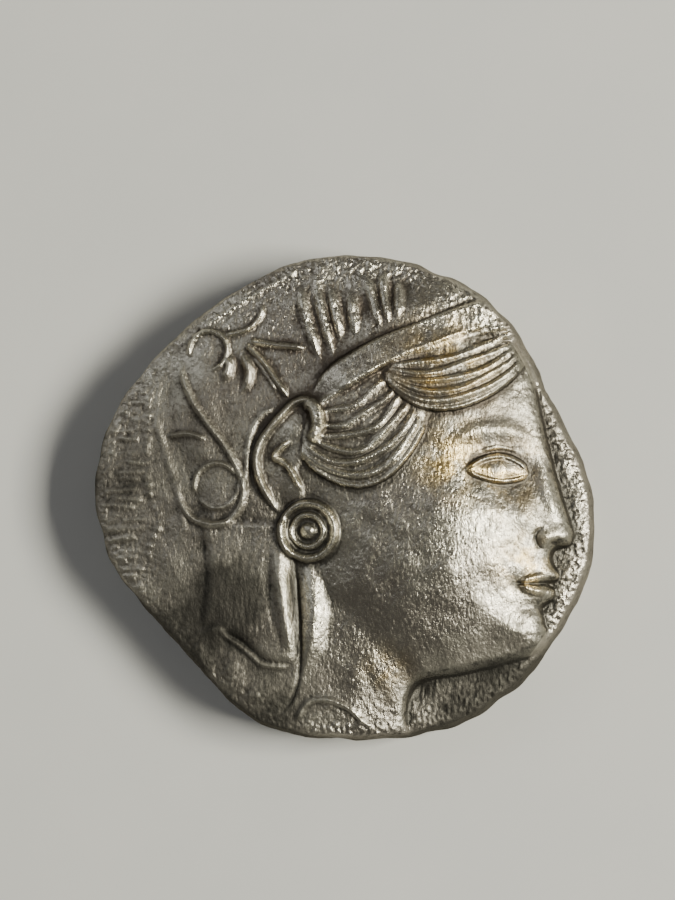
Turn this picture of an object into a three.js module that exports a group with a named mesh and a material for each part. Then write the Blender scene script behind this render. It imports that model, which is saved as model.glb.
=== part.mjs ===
// A silver tetradrachm of the Athenian type: one hammered disc, struck on the front with a helmeted head
// that looks right, and on the back with an owl in a sunken square.
// Millimetres, +Z up. The coin lies on its back. +X is the way the head looks, +Y is the top of its helmet,
// and the origin is under the middle of the coin, on the surface it lies on.
import * as THREE from "three";
import { ConvexHull } from "three/addons/math/ConvexHull.js";

// ---------------------------------------------------------------- driving sizes
const FLAN_RADIUS = 11.77; // mean radius of the disc
const FLAN_WAVES = [ // slow waves of its outline: how many round the rim, swing, degrees of the first crest
  [1, 0.22, 8], [2, 0.35, -39], [3, 0.29, -55], [4, 0.27, -11], [5, 0.08, -32], [6, 0.11, 0], [7, 0.1, -6],
];
const RIM_HEIGHT = 2.54; // height of the front's edge above the surface the coin lies on
const FIELD_RISE = 0.55; // how much the bare front rises from its edge to the middle
const FRONT_BEVEL = 0.42; // how far the front's edge lies inside the widest outline
const BACK_BEVEL = 0.5;
const RIM_STEPS = 132; // points round the rim
const RIM_ROWS = 5; // bands down the side

const EDGE_HEIGHT = 0.38; // the step round the head and neck
const FACE_HEIGHT = 0.97; // how far the face swells above that step
const NECK_HEIGHT = 0.76; // how far the other big forms stand above the bare front
const NAPE_HEIGHT = 0.98;
const HELMET_HEIGHT = 1.02;
const CREST_HEIGHT = 0.78;
const HEAD_SWELL = 0.7; // the rise from the edges of the head to its middle

const FACE_THIRD = 5.1; // hairline to brow, brow to nose, nose to chin
const HAIRLINE_Y = 7.8;
const BROW_Y = HAIRLINE_Y - FACE_THIRD;
const NOSE_Y = BROW_Y - FACE_THIRD;
const CHIN_Y = NOSE_Y - FACE_THIRD;
const MOUTH_Y = NOSE_Y - FACE_THIRD / 3;
const EYE_Y = BROW_Y - 0.27 * FACE_THIRD;
const FACE_X = 9.9; // the profile at the brow
const EARRING = [-1.45, -1.61];
const EARRING_RADIUS = 1.6;
const CURL = [-5.9, 0.55]; // middle of the scroll on the helmet

const SQUARE_SIDE = 15.2; // the sunken square of the back
const SQUARE_DEPTH = 0.85;
const SQUARE_SLOPE = 0.45; // width of its sloping sides
const BACK_MIDDLE = [0.4, 0.1]; // where the middle of the square lies
const BACK_TURN = -26; // degrees the back is turned against the front

const SHOULDER_ROWS = [-0.05, 0.17, 0.5, 1.1]; // rows of mesh points inside the edge of a big form
const GUIDE_GAP = 0.17; // the closest that mesh points come on the front
const BACK_GAP = 0.19;

// ---------------------------------------------------------------- curves and sections
const radians = THREE.MathUtils.degToRad;
const clamp = (v) => Math.min(1, Math.max(0, v));
const ease = (t) => clamp(t) ** 2 * (3 - 2 * clamp(t));
const hump = (u) => ease(1 - Math.abs(u));
const bulge = (t) => 1 - (1 - clamp(t)) ** 2;
const quarterRound = (t) => Math.sqrt(1 - (1 - clamp(t)) ** 2);
const flatTop = (u) => quarterRound((1 - Math.abs(u)) * 2.2);
const row = (count, make) => Array.from({ length: count }, (_, k) => make(k));
const total = (forms, x, y) => forms.reduce((sum, form) => sum + form.height(x, y), 0);
const highest = (forms, x, y) => forms.reduce((top, form) => Math.max(top, form.height(x, y)), 0);

function flanRadius(angle) {
  const wave = ([count, swing, crest]) => swing * Math.cos(count * (angle - radians(crest)));
  return FLAN_WAVES.reduce((radius, part) => radius + wave(part), FLAN_RADIUS);
}

function smoothCurve(points, closed = false) {
  return new THREE.CatmullRomCurve3(points.map(([x, y]) => new THREE.Vector3(x, y, 0)), closed);
}

// Evenly spaced points on a smooth curve through a few points
function curve(points, spacing = 0.3, closed = false) {
  const smooth = smoothCurve(points, closed);
  const steps = Math.max(4, Math.round(smooth.getLength() / spacing));
  const path = smooth.getSpacedPoints(steps).map(({ x, y }) => [x, y]);
  return closed ? path.slice(0, -1) : path;
}

// Points on a circle, or on a spiral where the radius changes, between two angles in degrees
function arc([x, y], startRadius, endRadius, start, end, steps = 14) {
  return row(steps + 1, (k) => {
    const radius = startRadius + ((endRadius - startRadius) * k) / steps;
    const angle = radians(start + ((end - start) * k) / steps);
    return [x + radius * Math.cos(angle), y + radius * Math.sin(angle)];
  });
}

// A path with every point moved sideways, to the left of its direction for a positive distance
function offset(path, distance) {
  return path.map(([x, y], k) => {
    const [ax, ay] = path[Math.max(0, k - 1)];
    const [bx, by] = path[Math.min(path.length - 1, k + 1)];
    const length = Math.hypot(bx - ax, by - ay) || 1;
    return [x - ((by - ay) / length) * distance, y + ((bx - ax) / length) * distance];
  });
}

// A path that lies between two others, a share of the way from the first to the last
function blendPaths(first, last, share) {
  const steps = 18;
  const ends = smoothCurve(last).getSpacedPoints(steps);
  return smoothCurve(first).getSpacedPoints(steps).map((point, k) => {
    const { x, y } = point.lerp(ends[k], share);
    return [x, y];
  });
}

// Distance from a point to a path, and the share of the path's length at the nearest place
function follow(path, x, y) {
  let [nearest, at, run] = [Infinity, 0, 0];
  for (let k = 0; k + 1 < path.length; k++) {
    const [ax, ay] = path[k];
    const [dx, dy] = [path[k + 1][0] - ax, path[k + 1][1] - ay];
    const length = Math.hypot(dx, dy);
    const t = clamp(((x - ax) * dx + (y - ay) * dy) / (length * length || 1));
    const distance = Math.hypot(x - ax - t * dx, y - ay - t * dy);
    if (distance < nearest) [nearest, at] = [distance, run + t * length];
    run += length;
  }
  return { distance: nearest, share: at / run };
}

function isInside(path, x, y) {
  let odd = false;
  path.forEach(([ax, ay], k) => {
    const [bx, by] = path[(k + 1) % path.length];
    if (ay > y !== by > y && x < ax + ((y - ay) * (bx - ax)) / (by - ay)) odd = !odd;
  });
  return odd;
}

// ---------------------------------------------------------------- relief tools
// A form has height(x, y), and guides: the paths along which its mesh needs points.

// A ridge that tapers at both ends
function stroke(points, width, height, { ends = 0.15, section = hump, rows = [0, -1, 1] } = {}) {
  const path = curve(points);
  const foot = Math.max(width / 2, 0.2);
  return {
    height(x, y) {
      const { distance, share } = follow(path, x, y);
      const taper = Math.min(ease(share / ends + 0.05), ease((1 - share) / ends + 0.05));
      return height * taper * section(distance / ((width / 2) * Math.sqrt(Math.max(taper, 0.05))));
    },
    guides: rows.map((side) => offset(path, side * foot)),
  };
}

// A raised area with a rounded edge
function plate(path, height, edge, insets = [-0.05, 0.17], section = quarterRound) {
  const ring = [...path, path[0]];
  const clockwise = THREE.ShapeUtils.isClockWise(path.map(([x, y]) => new THREE.Vector2(x, y)));
  return {
    height: (x, y) => (isInside(path, x, y) ? height * section(follow(ring, x, y).distance / edge) : 0),
    guides: insets.map((inset) => offset(ring, clockwise ? -inset : inset)),
  };
}

function dome([cx, cy], [rx, ry], height, turn = 0) {
  const [c, s] = [Math.cos(radians(turn)), Math.sin(radians(turn))];
  const round = 0.9 * Math.min(rx, ry);
  return {
    height(x, y) {
      const [dx, dy] = [x - cx, y - cy];
      return height * Math.exp(-(((dx * c + dy * s) / rx) ** 2) - ((dy * c - dx * s) / ry) ** 2);
    },
    guides: [[[cx, cy]], arc([cx, cy], round, round, 0, 315, 7)],
  };
}

// A raised ring round a middle
function circle(middle, radius, width, height) {
  const steps = Math.ceil((2 * Math.PI * radius) / 0.32);
  const around = (r) => arc(middle, r, r, 0, 360 - 360 / steps, steps - 1);
  return {
    height: (x, y) => height * hump((Math.hypot(x - middle[0], y - middle[1]) - radius) / (width / 2)),
    guides: [radius, radius - width / 2, radius + width / 2].map(around),
  };
}

// Locks of hair side by side, from one path to another
function strands(first, last, count, width, height) {
  const options = { ends: 0.1, rows: [0, 1] };
  return row(count, (k) => stroke(blendPaths(first, last, k / (count - 1)), width, height, options));
}

// The higher of two heights, with the crease between them filled over a small reach
function smoothMax(a, b, reach = 0.12) {
  const h = clamp(0.5 + (0.5 * (a - b)) / reach);
  return b + (a - b) * h + reach * h * (1 - h);
}

// ---------------------------------------------------------------- front: outlines of a helmeted head
const PROFILE = [
  [8.3, 7.6], [9.15, 5.9], [FACE_X - 0.25, BROW_Y + 1.1], [FACE_X, BROW_Y], [FACE_X + 0.5, BROW_Y - 2],
  [FACE_X + 1.05, NOSE_Y + 1.25], [FACE_X + 1.22, NOSE_Y + 0.62], [FACE_X + 1.02, NOSE_Y + 0.12],
  [FACE_X + 0.32, NOSE_Y - 0.12], [FACE_X + 0.2, NOSE_Y - 0.65], [FACE_X + 0.48, MOUTH_Y + 0.5],
  [FACE_X + 0.42, MOUTH_Y + 0.16], [FACE_X + 0.02, MOUTH_Y - 0.02], [FACE_X + 0.28, MOUTH_Y - 0.3],
  [FACE_X + 0.2, MOUTH_Y - 0.72], [FACE_X - 0.28, MOUTH_Y - 1.15], [FACE_X - 0.22, MOUTH_Y - 1.75],
  [FACE_X - 0.12, MOUTH_Y - 2.3], [FACE_X - 0.35, CHIN_Y + 0.35], [FACE_X - 1, CHIN_Y - 0.12],
];
const HEAD_BACK = [[-5, 0], [-5.5, 5], [0, 9.5], [6, 10]]; // hidden under the helmet
const JAW = [
  [7.4, CHIN_Y - 0.55], [5.6, CHIN_Y - 0.95], [3.9, CHIN_Y - 1.1], [2, CHIN_Y - 0.6], [0.2, CHIN_Y + 0.6],
  [-1.2, CHIN_Y + 2.2], [-2.4, -2.6], ...HEAD_BACK,
];
const THROAT = [
  [7.4, CHIN_Y - 0.55], [5.6, CHIN_Y - 0.95], [4.3, CHIN_Y - 1.15], [3.5, -9.1], [3.1, -10.4], [3, -13.5],
  [-5.5, -13.5], [-5.5, -6], ...HEAD_BACK,
];
const NECK = [
  [-3, -1], [3, -3], [4.6, -6.9], [3.7, -8.4], [3.25, -9.4], [3, -10.4], [2.95, -13.5], [-6.5, -13.5],
  [-8.6, -9.5], [-7.3, -6.6], [-5.4, -5.4], [-3.5, -4],
];
const NAPE = [
  [-6.9, -0.5], [-4.5, -0.8], [-2.2, -1], [-2.05, -3.7], [-1.95, -5.7], [-1.9, -7.7], [-2.6, -8.15],
  [-3.6, -8], [-4.4, -7.4], [-5.2, -6.75], [-6.2, -6.4], [-6.95, -6.1], [-6.8, -4.9], [-6.65, -3.4],
  [-6.8, -1.9],
];
const HELMET = [
  [0.8, 3.2], [2.8, 4.8], [5, 6.4], [9, 7.8], [10.5, 12], [4, 15], [-4, 13], [-8, 9], [-8.85, 6.2],
  [-8.95, 4.4], [-8.75, 3], [-8.3, 1.9], [-7.85, 0.6], [-7.4, -1], [-6.75, -2.3], [-4.6, -2.1],
  [-2.2, -1.8], [-1, 1.6],
];
const CREST = [
  [-8.6, 9], [-7.2, 7], [-6.8, 2], [-5.6, -2], [-5.2, -6], [-5.4, -8.5], [-7, -11.5], [-13.5, -10.5],
  [-15.5, 0], [-13, 7.5], [-10.5, 9.5],
];
const VISOR = [
  [-1.35, 4.62], [0.03, 5.64], [1.45, 6.51], [2.79, 7.18], [4.38, 7.8], [5.97, 8.39], [7.65, 8.82],
  [8.6, 8.9],
];
const FRONT_HAIR_TOP = [[2.35, 6.3], [3.5, 6.75], [4.9, 7.2], [6.2, 7.65], [7.4, 8], [8.3, 8.2]];
const FRONT_HAIR_END = [
  [2, 5.78], [2.96, 4.72], [4.21, 4.1], [5.72, 4.13], [7.23, 4.77], [8.4, 5.73], [9, 6.73],
];
const TEMPLE_HAIR_TOP = [[-0.95, 4.35], [-0.2, 4.85], [0.85, 5.45], [1.9, 6.05]];
const TEMPLE_HAIR_END = [
  [-1.82, 1.96], [-0.98, 1.12], [0.19, 0.53], [1.36, 0.42], [2.54, 0.95], [3.46, 1.96], [4.04, 2.96],
  [4.18, 3.63],
];

const profile = curve(PROFILE, 0.26);
const HEAD_FORMS = [
  plate([...profile, ...curve(THROAT, 0.45)], EDGE_HEIGHT, 0.6, SHOULDER_ROWS.slice(0, 3)),
  plate([...profile, ...curve(JAW, 0.45)], FACE_HEIGHT, 5.2, [2.2], bulge),
];
const BODY_FORMS = [
  plate(curve(NECK, 0.5, true), NECK_HEIGHT, 3, SHOULDER_ROWS),
  plate(curve(HELMET, 0.45, true), HELMET_HEIGHT, 2.4, SHOULDER_ROWS),
  plate(curve(NAPE, 0.45, true), NAPE_HEIGHT, 0.7, SHOULDER_ROWS),
  plate(curve(CREST, 0.5, true), CREST_HEIGHT, 0.9, SHOULDER_ROWS.slice(0, 3)),
];
const SWELLING = dome([2.2, -0.6], [10, 11.2], HEAD_SWELL);

// ---------------------------------------------------------------- front: what the big forms carry
function faceFeatures() {
  const outer = [6, EYE_Y - 0.12];
  const inner = [9, EYE_Y - 0.22];
  const upper = curve([outer, [6.8, EYE_Y + 0.42], [7.75, EYE_Y + 0.6], [8.6, EYE_Y + 0.28], inner], 0.25);
  const lower = curve([outer, [6.9, EYE_Y - 0.48], [7.8, EYE_Y - 0.62], [8.6, EYE_Y - 0.48], inner], 0.25);
  const brow = [[5.2, BROW_Y - 0.35], [6.5, BROW_Y + 0.35], [8, BROW_Y + 0.5], [9.35, BROW_Y - 0.2]];
  const mouthCorner = [8.45, MOUTH_Y - 0.02];
  return {
    raised: [
      dome([5.6, -2], [2.9, 3.3], 0.32, 20),
      stroke(brow, 1.3, 0.17, { ends: 0.4 }),
      plate([...upper, ...lower.toReversed().slice(1, -1)], 0.34, 0.8),
      stroke(upper, 0.36, 0.3),
      stroke(lower, 0.3, 0.24),
      stroke([[9.35, BROW_Y - 0.5], [9.75, BROW_Y - 2], [10.35, NOSE_Y + 1]], 1.1, 0.16, { ends: 0.4 }),
      dome([FACE_X - 0.02, NOSE_Y + 0.45], [0.42, 0.38], 0.26),
      dome([FACE_X + 0.78, NOSE_Y + 0.62], [0.42, 0.42], 0.14),
      stroke([mouthCorner, [9.2, MOUTH_Y + 0.26], [10, MOUTH_Y + 0.32]], 0.52, 0.24, { ends: 0.3 }),
      stroke([mouthCorner, [9.15, MOUTH_Y - 0.3], [9.9, MOUTH_Y - 0.36]], 0.56, 0.26, { ends: 0.3 }),
      dome([9, CHIN_Y + 1.15], [0.8, 0.85], 0.2),
    ],
    sunk: [
      dome([7.9, EYE_Y - 0.05], [2.1, 1.2], 0.42, -4),
      dome([8.3, 0.1], [1, 1.5], 0.1, 30),
      dome([7.2, -4.3], [1.3, 1], 0.1),
      dome([FACE_X + 0.32, NOSE_Y + 0.2], [0.24, 0.15], 0.2, -10),
      stroke([[8.3, MOUTH_Y], [9.2, MOUTH_Y - 0.02], [10, MOUTH_Y + 0.02]], 0.18, 0.2, { rows: [0] }),
      dome([9.3, MOUTH_Y - 1.12], [0.75, 0.28], 0.15),
    ],
  };
}

// A bunch of wavy hair that hangs from under the visor: its body, and its locks
function hairBunch(top, end, underVisor, body, count) {
  return {
    body: plate([...curve(end), ...underVisor], body, 0.5),
    locks: [...strands(top, end, count, 0.5, 0.18), stroke(end, 0.62, 0.26)],
  };
}

// The palmette behind the visor, with its scroll, and the leaves above it
function helmetOrnament() {
  const stem = [
    [-7.75, 7], [-7.6, 5.9], [-7.1, 4.7], [-6.35, 3.6], [-5.55, 2.6], [-4.95, 1.6], [-4.55, 0.5],
    [-4.75, -0.5], [-5.4, -1.15], [-6.3, -1.25], [-7.2, -0.85], [-7.75, 0.1], [-7.65, 1.1],
  ];
  const leaves = [
    [[-1.95, 10.4], [-1.7, 9], [-1.3, 7.7], [-0.9, 6.5]],
    [[-1.2, 10.8], [-0.9, 9.15], [-0.5, 7.65], [-0.25, 6.5]],
    [[-0.5, 10.3], [-0.2, 8.9], [0.12, 7.4]], [[0.45, 10], [0.62, 9], [0.78, 7.6]],
    [[1.22, 10.8], [1.6, 9.5], [2.02, 8]], [[2.05, 11.1], [2.16, 9.65], [2.42, 8.1]],
    [[2.85, 10.5], [2.84, 9.4], [2.8, 8.4]],
  ];
  return [
    stroke(stem, 0.52, 0.23),
    stroke(arc(CURL, 1.08, 1.12, 200, 20), 0.32, 0.2),
    stroke(arc([-6.35, 7.1], 0.95, 0.95, 205, -95), 0.34, 0.24),
    stroke([[-5.6, 7.85], [-4.9, 7.95], [-4.2, 8.25], [-3.75, 8.9], [-3.85, 9.4]], 0.36, 0.24),
    stroke([[-4.8, 7.1], [-4.35, 6.2], [-4.4, 5.5], [-4.8, 4.95]], 0.75, 0.3, { ends: 0.35 }),
    stroke([[-8.35, 3], [-7.3, 3.1], [-6.4, 2.8]], 0.36, 0.2),
    ...leaves.map((rib) => stroke(rib, 0.46, 0.26, { ends: 0.3 })),
    stroke([[-4.55, 7.45], [-3.6, 6.45], [-2.9, 5.45], [-2.4, 4.75]], 0.46, 0.3),
    stroke([[-4.4, 7.55], [-3.4, 7.35], [-1.6, 7.15]], 0.44, 0.26),
  ];
}

function earForms() {
  const helix = [
    [-2.86, -0.81], [-3.36, 0.03], [-3.74, 0.79], [-3.93, 1.62], [-3.79, 2.46], [-3.32, 3.21],
    [-2.65, 3.97],
    [-2.07, 4.5], [-1.4, 4.6], [-0.86, 4.05], [-0.78, 3.21], [-1.23, 2.24],
  ];
  const inner = [[-2.2, 2.75], [-3.05, 1.95], [-2.39, 1.46], [-1.65, 0.2]];
  const lobe = [[-1.75, 4.5], [-1.15, 4.15], [-0.95, 3.3], [-1.25, 2.5]];
  return [stroke(helix, 0.6, 0.46, { ends: 0.1 }), stroke(lobe, 0.85, 0.42), stroke(inner, 0.38, 0.3)];
}

function earringForms() {
  const boss = dome(EARRING, [0.28, 0.28], 0.4);
  return [circle(EARRING, 1.3, 0.6, 0.44), circle(EARRING, 0.76, 0.42, 0.38), boss];
}

// Two long locks with a groove between them, and the hem of the helmet's neck guard
function neckForms() {
  const backLock = [[-3.05, -2], [-2.86, -3.57], [-2.62, -5.24], [-2.32, -6.92], [-2.15, -7.8]];
  const frontLock = [[-1.55, -2.9], [-1.3, -4.41], [-1.2, -5.75], [-1.4, -7.1], [-1.85, -8.6]];
  const groove = [[-2.1, -3], [-2, -4.4], [-1.88, -6.1], [-1.85, -7.76], [-2.15, -9.26], [-2.9, -10.4]];
  const hem = [
    [-6.54, -6.38], [-5.84, -6.25], [-5.37, -6.68], [-4.83, -7.02], [-4.25, -7.5], [-3.76, -7.91],
    [-2.92, -8.04], [-2.29, -7.91],
  ];
  const locks = [stroke(backLock, 1.3, 0.34, { ends: 0.4 }), stroke(frontLock, 1.7, 0.38, { ends: 0.4 })];
  return { raised: [...locks, stroke(hem, 0.4, 0.16)], sunk: [stroke(groove, 0.38, 0.14)] };
}

// The crest: hairs that run out to the rim, and the raised line they grow from
function crestForms() {
  const [count, top, bottom, root, length] = [18, 5.5, -5.1, -9.35, 1.9];
  const hairs = row(count, (k) => {
    const y = top + ((bottom - top) * k) / (count - 1);
    return stroke([[root, y], [root - length / 2, y + 0.05], [root - length, y - 0.02 * k]], 0.42, 0.08);
  });
  const line = [[-9.42, 4.3], [-9.32, 3.5], [-9.27, 0.9], [-8.88, -0.4], [-8.73, -1.1], [-9.2, -2.6]];
  return [stroke(line, 0.36, 0.12), ...hairs];
}

const underVisor = curve(VISOR, 0.45).toReversed();
const frontHair = hairBunch(FRONT_HAIR_TOP, FRONT_HAIR_END, underVisor.slice(0, -9), 0.28, 7);
const templeHair = hairBunch(TEMPLE_HAIR_TOP, TEMPLE_HAIR_END, underVisor.slice(-14), 0.22, 8);
const face = faceFeatures();
const neck = neckForms();
const ornament = [...helmetOrnament(), ...earForms(), ...crestForms()];
const earring = earringForms();
const visor = stroke(VISOR, 1.6, 0.5, { ends: 0.2, section: flatTop, rows: [0.7, -0.7, 1, -1] });
const aboveVisor = VISOR.slice(1).map(([x, y]) => [x - 0.5, y + 0.95]);
const behindVisor = stroke(aboveVisor, 3.6, 0.4, { ends: 0.5, rows: [1] });

const bunchHeight = ({ body, locks }, x, y) => body.height(x, y) && body.height(x, y) + highest(locks, x, y);

function frontHeight(x, y) {
  const fromMiddle = Math.hypot(x, y) / flanRadius(Math.atan2(y, x));
  const body = BODY_FORMS.reduce((top, form) => smoothMax(top, form.height(x, y)), total(HEAD_FORMS, x, y));
  const swelling = SWELLING.height(x, y) * clamp(body / 0.35);
  const hair = bunchHeight(frontHair, x, y) || bunchHeight(templeHair, x, y);
  const onEarring = Math.hypot(x - EARRING[0], y - EARRING[1]) < EARRING_RADIUS;
  const covering = Math.max(hair, highest([visor, behindVisor], x, y));
  const added = total(face.raised, x, y) + covering + highest(neck.raised, x, y);
  const taken = total(face.sunk, x, y) + highest(neck.sunk, x, y);
  const trim = highest(onEarring ? earring : ornament, x, y);
  return RIM_HEIGHT + FIELD_RISE * (1 - fromMiddle ** 3) + body + swelling + added - taken + trim;
}

// In order of importance: where guides come too close together, the first is kept
const FRONT_GUIDES = [
  ...[...HEAD_FORMS, ...earring, visor, behindVisor, frontHair.body, templeHair.body],
  ...[...neck.raised, ...neck.sunk, ...ornament, ...frontHair.locks, ...templeHair.locks],
  ...[...face.raised, ...face.sunk, ...BODY_FORMS],
].flatMap((form) => form.guides);

// ---------------------------------------------------------------- back: an owl in a sunken square
// It is drawn as it looks from behind, upright, with the middle of the square at 0, 0.
function owlForms() {
  const body = [
    [1.6, 1.9], [2.3, 0.2], [1.9, -1.9], [0.6, -3.3], [-1.2, -4.2], [-2.6, -4.9], [-2.7, -3.2], [-2.1, -0.9],
    [-1, 1.2], [-0.4, 2.3],
  ];
  const head = arc([0.8, 3.2], 1.85, 1.85, 0, 330, 11);
  const feathers = row(4, (k) => stroke([
    [-0.9 + 0.5 * k, 1 - 0.5 * k], [-1.5 + 0.35 * k, -1.4 - 0.35 * k], [-2.3 + 0.35 * k, -3.9 + 0.12 * k],
  ], 0.4, 0.12));
  const eye = (x) => [circle([x, 3.45], 0.5, 0.32, 0.14), dome([x, 3.45], [0.16, 0.16], 0.12)];
  const beak = stroke([[0.82, 3.2], [0.85, 2.5]], 0.3, 0.14);
  const legs = [0.3, 1.3].flatMap((x) => [
    stroke([[x, -3], [x + 0.25, -5.2]], 0.5, 0.35),
    ...[-0.5, 0.1, 0.7].map((toe) => stroke([[x + 0.2, -5.1], [x + 0.25 + toe, -5.7]], 0.3, 0.28)),
  ]);
  return {
    masses: [plate(curve(body, 0.4, true), 0.55, 1.3), plate(curve(head, 0.4, true), 0.55, 1)],
    details: [...feathers, ...eye(0.2), ...eye(1.45), beak],
    legs,
  };
}

// A sprig with two leaves and a berry, a small moon, and a column of plain bars
function signForms() {
  const bar = (k) => [[4.5, 3.8 - 1.15 * k], [6.1, 3.8 - 1.15 * k]];
  return [
    stroke([[-6.8, 6.6], [-5.6, 5.9], [-4.6, 5]], 0.4, 0.3),
    stroke([[-5.4, 6], [-4.2, 6.6], [-2.9, 6.5]], 0.9, 0.4, { ends: 0.45 }),
    stroke([[-5.8, 5.8], [-6.4, 4.7], [-6.2, 3.4]], 0.9, 0.4, { ends: 0.45 }),
    dome([-4.3, 4.6], [0.45, 0.45], 0.4),
    stroke(arc([-2.2, 3.6], 0.8, 0.8, 110, 290, 8), 0.5, 0.3),
    ...row(7, (k) => stroke(bar(k), 0.55, 0.22)),
  ];
}

const owl = owlForms();
const signs = [...signForms(), ...owl.legs];

// From the coin's x, y to the back's own drawing, and the other way round
const [TURN_C, TURN_S] = [Math.cos(radians(BACK_TURN)), Math.sin(radians(BACK_TURN))];
const mirrorTurned = (x, y) => [-x * TURN_C + y * TURN_S, x * TURN_S + y * TURN_C];
const toBack = (x, y) => mirrorTurned(x - BACK_MIDDLE[0], y - BACK_MIDDLE[1]);
const fromBack = ([u, v]) => mirrorTurned(u, v).map((place, axis) => place + BACK_MIDDLE[axis]);

function backHeight(x, y) {
  const [u, v] = toBack(x, y);
  const depth = SQUARE_DEPTH * ease((SQUARE_SIDE / 2 - Math.max(Math.abs(u), Math.abs(v))) / SQUARE_SLOPE);
  if (depth === 0) return 0;
  const mass = highest(owl.masses, u, v);
  const raised = Math.max(mass + (mass > 0.1 ? highest(owl.details, u, v) : 0), highest(signs, u, v));
  return Math.max(0, depth - raised);
}

// Points along the sides of a square, as far outside the sunken one as it has grown
function squarePath(grow) {
  const [half, steps] = [SQUARE_SIDE / 2 + grow, 24];
  const side = row(steps, (k) => -half + (2 * half * k) / steps);
  return side.flatMap((s) => [[s, half], [half, -s], [-s, -half], [-half, s]]);
}

const BACK_GUIDES = [
  ...[0.04, -SQUARE_SLOPE / 2, -SQUARE_SLOPE].map(squarePath),
  ...[...owl.masses, ...owl.details, ...signs].flatMap((form) => form.guides),
].map((guide) => guide.map(fromBack));

// ---------------------------------------------------------------- skin
// Points for one face of the coin: its edge, then the guides, then an even scatter, none too close together.
// They are laid out on a true circle, and are spread to the coin's outline afterwards.
function facePoints(guides, spread, gap, scatterGap) {
  const points = row(RIM_STEPS, (k) => {
    const angle = (2 * Math.PI * k) / RIM_STEPS;
    return [FLAN_RADIUS * Math.cos(angle), FLAN_RADIUS * Math.sin(angle)];
  });
  const cells = new Map();
  const cellAt = (x, y) => `${Math.round(x)},${Math.round(y)}`;
  const inCell = (x, y) => cells.get(cellAt(x, y)) ?? [];
  const keep = ([x, y], room) => {
    const near = [-1, 0, 1].flatMap((i) => [-1, 0, 1].flatMap((j) => inCell(x + i, y + j)));
    if (near.some((other) => Math.hypot(x - other[0], y - other[1]) < room)) return;
    cells.set(cellAt(x, y), [...inCell(x, y), [x, y]]);
    points.push([x, y]);
  };
  const innermost = FLAN_RADIUS - 0.25;
  for (const [x, y] of guides.flat()) {
    const scale = 1 / spread(Math.atan2(y, x));
    if (Math.hypot(x, y) * scale < innermost) keep([x * scale, y * scale], gap);
  }
  const scatter = Math.round((FLAN_RADIUS / scatterGap) ** 2 * 4);
  const goldenAngle = Math.PI * (3 - Math.sqrt(5));
  for (let k = 0; k < scatter; k++) {
    const radius = innermost * Math.sqrt((k + 0.5) / scatter);
    keep([radius * Math.cos(k * goldenAngle), radius * Math.sin(k * goldenAngle)], scatterGap);
  }
  return points;
}

// Delaunay triangles: the underside of the hull of the points lifted onto a bowl
function triangulate(points) {
  const lifted = points.map(([x, y]) => new THREE.Vector3(x, y, x * x + y * y));
  const index = new Map(lifted.map((point, k) => [point, k]));
  const corners = ({ edge }) => [edge.head(), edge.next.head(), edge.prev.head()];
  const under = new ConvexHull().setFromPoints(lifted).faces.filter((side) => side.normal.z < -1e-9);
  return under.map((side) => corners(side).map((vertex) => index.get(vertex.point)));
}

// One face of the coin. The first RIM_STEPS of its vertices are its edge.
function skin(guides, bevel, height, gap, scatterGap) {
  const spread = (angle) => (flanRadius(angle) - bevel) / FLAN_RADIUS;
  const points = facePoints(guides, spread, gap, scatterGap);
  const vertices = points.map(([x, y]) => {
    const scale = spread(Math.atan2(y, x));
    return [x * scale, y * scale, height(x * scale, y * scale)];
  });
  return { vertices, triangles: triangulate(points) };
}

// The side bulges from the front's edge out to the widest outline, and in again to the back's edge.
function sideRow(frontEdge, down) {
  const bevel = down < 0.5 ? FRONT_BEVEL : BACK_BEVEL;
  return frontEdge.map(([x, y, z]) => {
    const angle = Math.atan2(y, x);
    const radius = flanRadius(angle) - bevel * (2 * down - 1) ** 2;
    return [radius * Math.cos(angle), radius * Math.sin(angle), z * (1 - down)];
  });
}

// Two triangles for each step between two rows of vertices that run round the rim
function band(upper, lower) {
  return row(RIM_STEPS, (k) => {
    const next = (k + 1) % RIM_STEPS;
    return [[upper + k, lower + k, upper + next], [upper + next, lower + k, lower + next]];
  }).flat();
}

function coinGeometry() {
  const front = skin(FRONT_GUIDES, FRONT_BEVEL, frontHeight, GUIDE_GAP, 0.62);
  const back = skin(BACK_GUIDES, BACK_BEVEL, backHeight, BACK_GAP, 1.2);
  const side = row(RIM_ROWS - 1, (k) => sideRow(front.vertices.slice(0, RIM_STEPS), (k + 1) / RIM_ROWS));
  const backStart = front.vertices.length;
  const sideStart = backStart + back.vertices.length;
  const rows = [0, ...side.map((_, k) => sideStart + k * RIM_STEPS), backStart];
  const triangles = [
    ...front.triangles.map(([a, b, c]) => [a, c, b]),
    ...back.triangles.map((corner) => corner.map((k) => k + backStart)),
    ...rows.slice(1).flatMap((lower, k) => band(rows[k], lower)),
  ];

  const geometry = new THREE.BufferGeometry();
  const vertices = [...front.vertices, ...back.vertices, ...side.flat()];
  geometry.setAttribute("position", new THREE.Float32BufferAttribute(vertices.flat(), 3));
  geometry.setIndex(triangles.flat());
  geometry.computeBoundingBox();
  const { min, max } = geometry.boundingBox;
  geometry.translate(-(min.x + max.x) / 2, -(min.y + max.y) / 2, -min.z);
  geometry.computeVertexNormals();
  return geometry;
}

const silver = new THREE.MeshStandardMaterial({ color: 0xb3aca0, roughness: 0.34, metalness: 1 });
const coin = new THREE.Mesh(coinGeometry(), silver);
coin.name = "coin";

const tetradrachm = new THREE.Group();
tetradrachm.add(coin);
export default tetradrachm;
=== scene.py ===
import math

import bpy
import numpy as np
from mathutils import Matrix, Vector


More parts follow.
